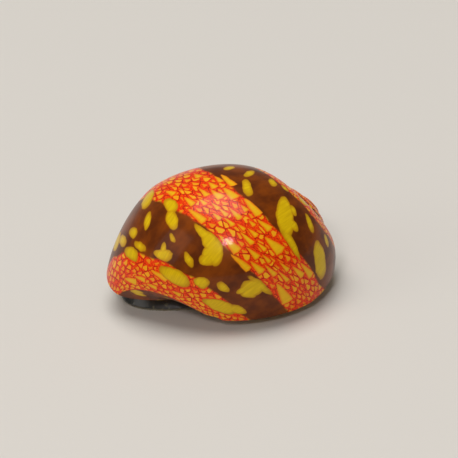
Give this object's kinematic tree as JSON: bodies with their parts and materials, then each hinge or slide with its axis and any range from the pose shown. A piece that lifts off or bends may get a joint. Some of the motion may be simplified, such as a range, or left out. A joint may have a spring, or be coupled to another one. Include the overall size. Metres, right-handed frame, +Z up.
{
  "type": "nerite snail",
  "caption": "Still life-size nerite snail: glossy globe-shaped shell with brown, yellow and red-orange net bands, low on its dark foot, head turned out from under the lip.",
  "frame": {"origin": "middle of the sole of the foot, on the floor", "axes": "-Y to the front of the foot, +X to the animal's left, +Z up; the spire of the shell lies to the rear right"},
  "size_m": [0.0199, 0.0173, 0.0099],
  "materials": {
    "shell": "polished natural shell, banded dark brown and red-orange with yellow marks",
    "flesh": "wet dark grey-green skin, finely mottled",
    "mantle": "wet, paler edge",
    "operculum": "smooth limy plate with fine growth lines",
    "eye": "glossy black"
  },
  "bodies": {
    "root": {"shell": "shell", "operculum": "operculum", "mantle_edge": "mantle", "foot_front": "flesh", "foot_rear": "flesh", "body": "flesh", "neck": "flesh", "head": "flesh", "snout": "flesh", "tentacle_left_base": "flesh", "tentacle_left_middle": "flesh", "tentacle_left_tip": "flesh", "tentacle_right_base": "flesh", "tentacle_right_middle": "flesh", "tentacle_right_tip": "flesh", "eye_stalk_left": "flesh", "eye_stalk_right": "flesh", "eye_left": "eye", "eye_right": "eye"}
  },
  "joints": []
}
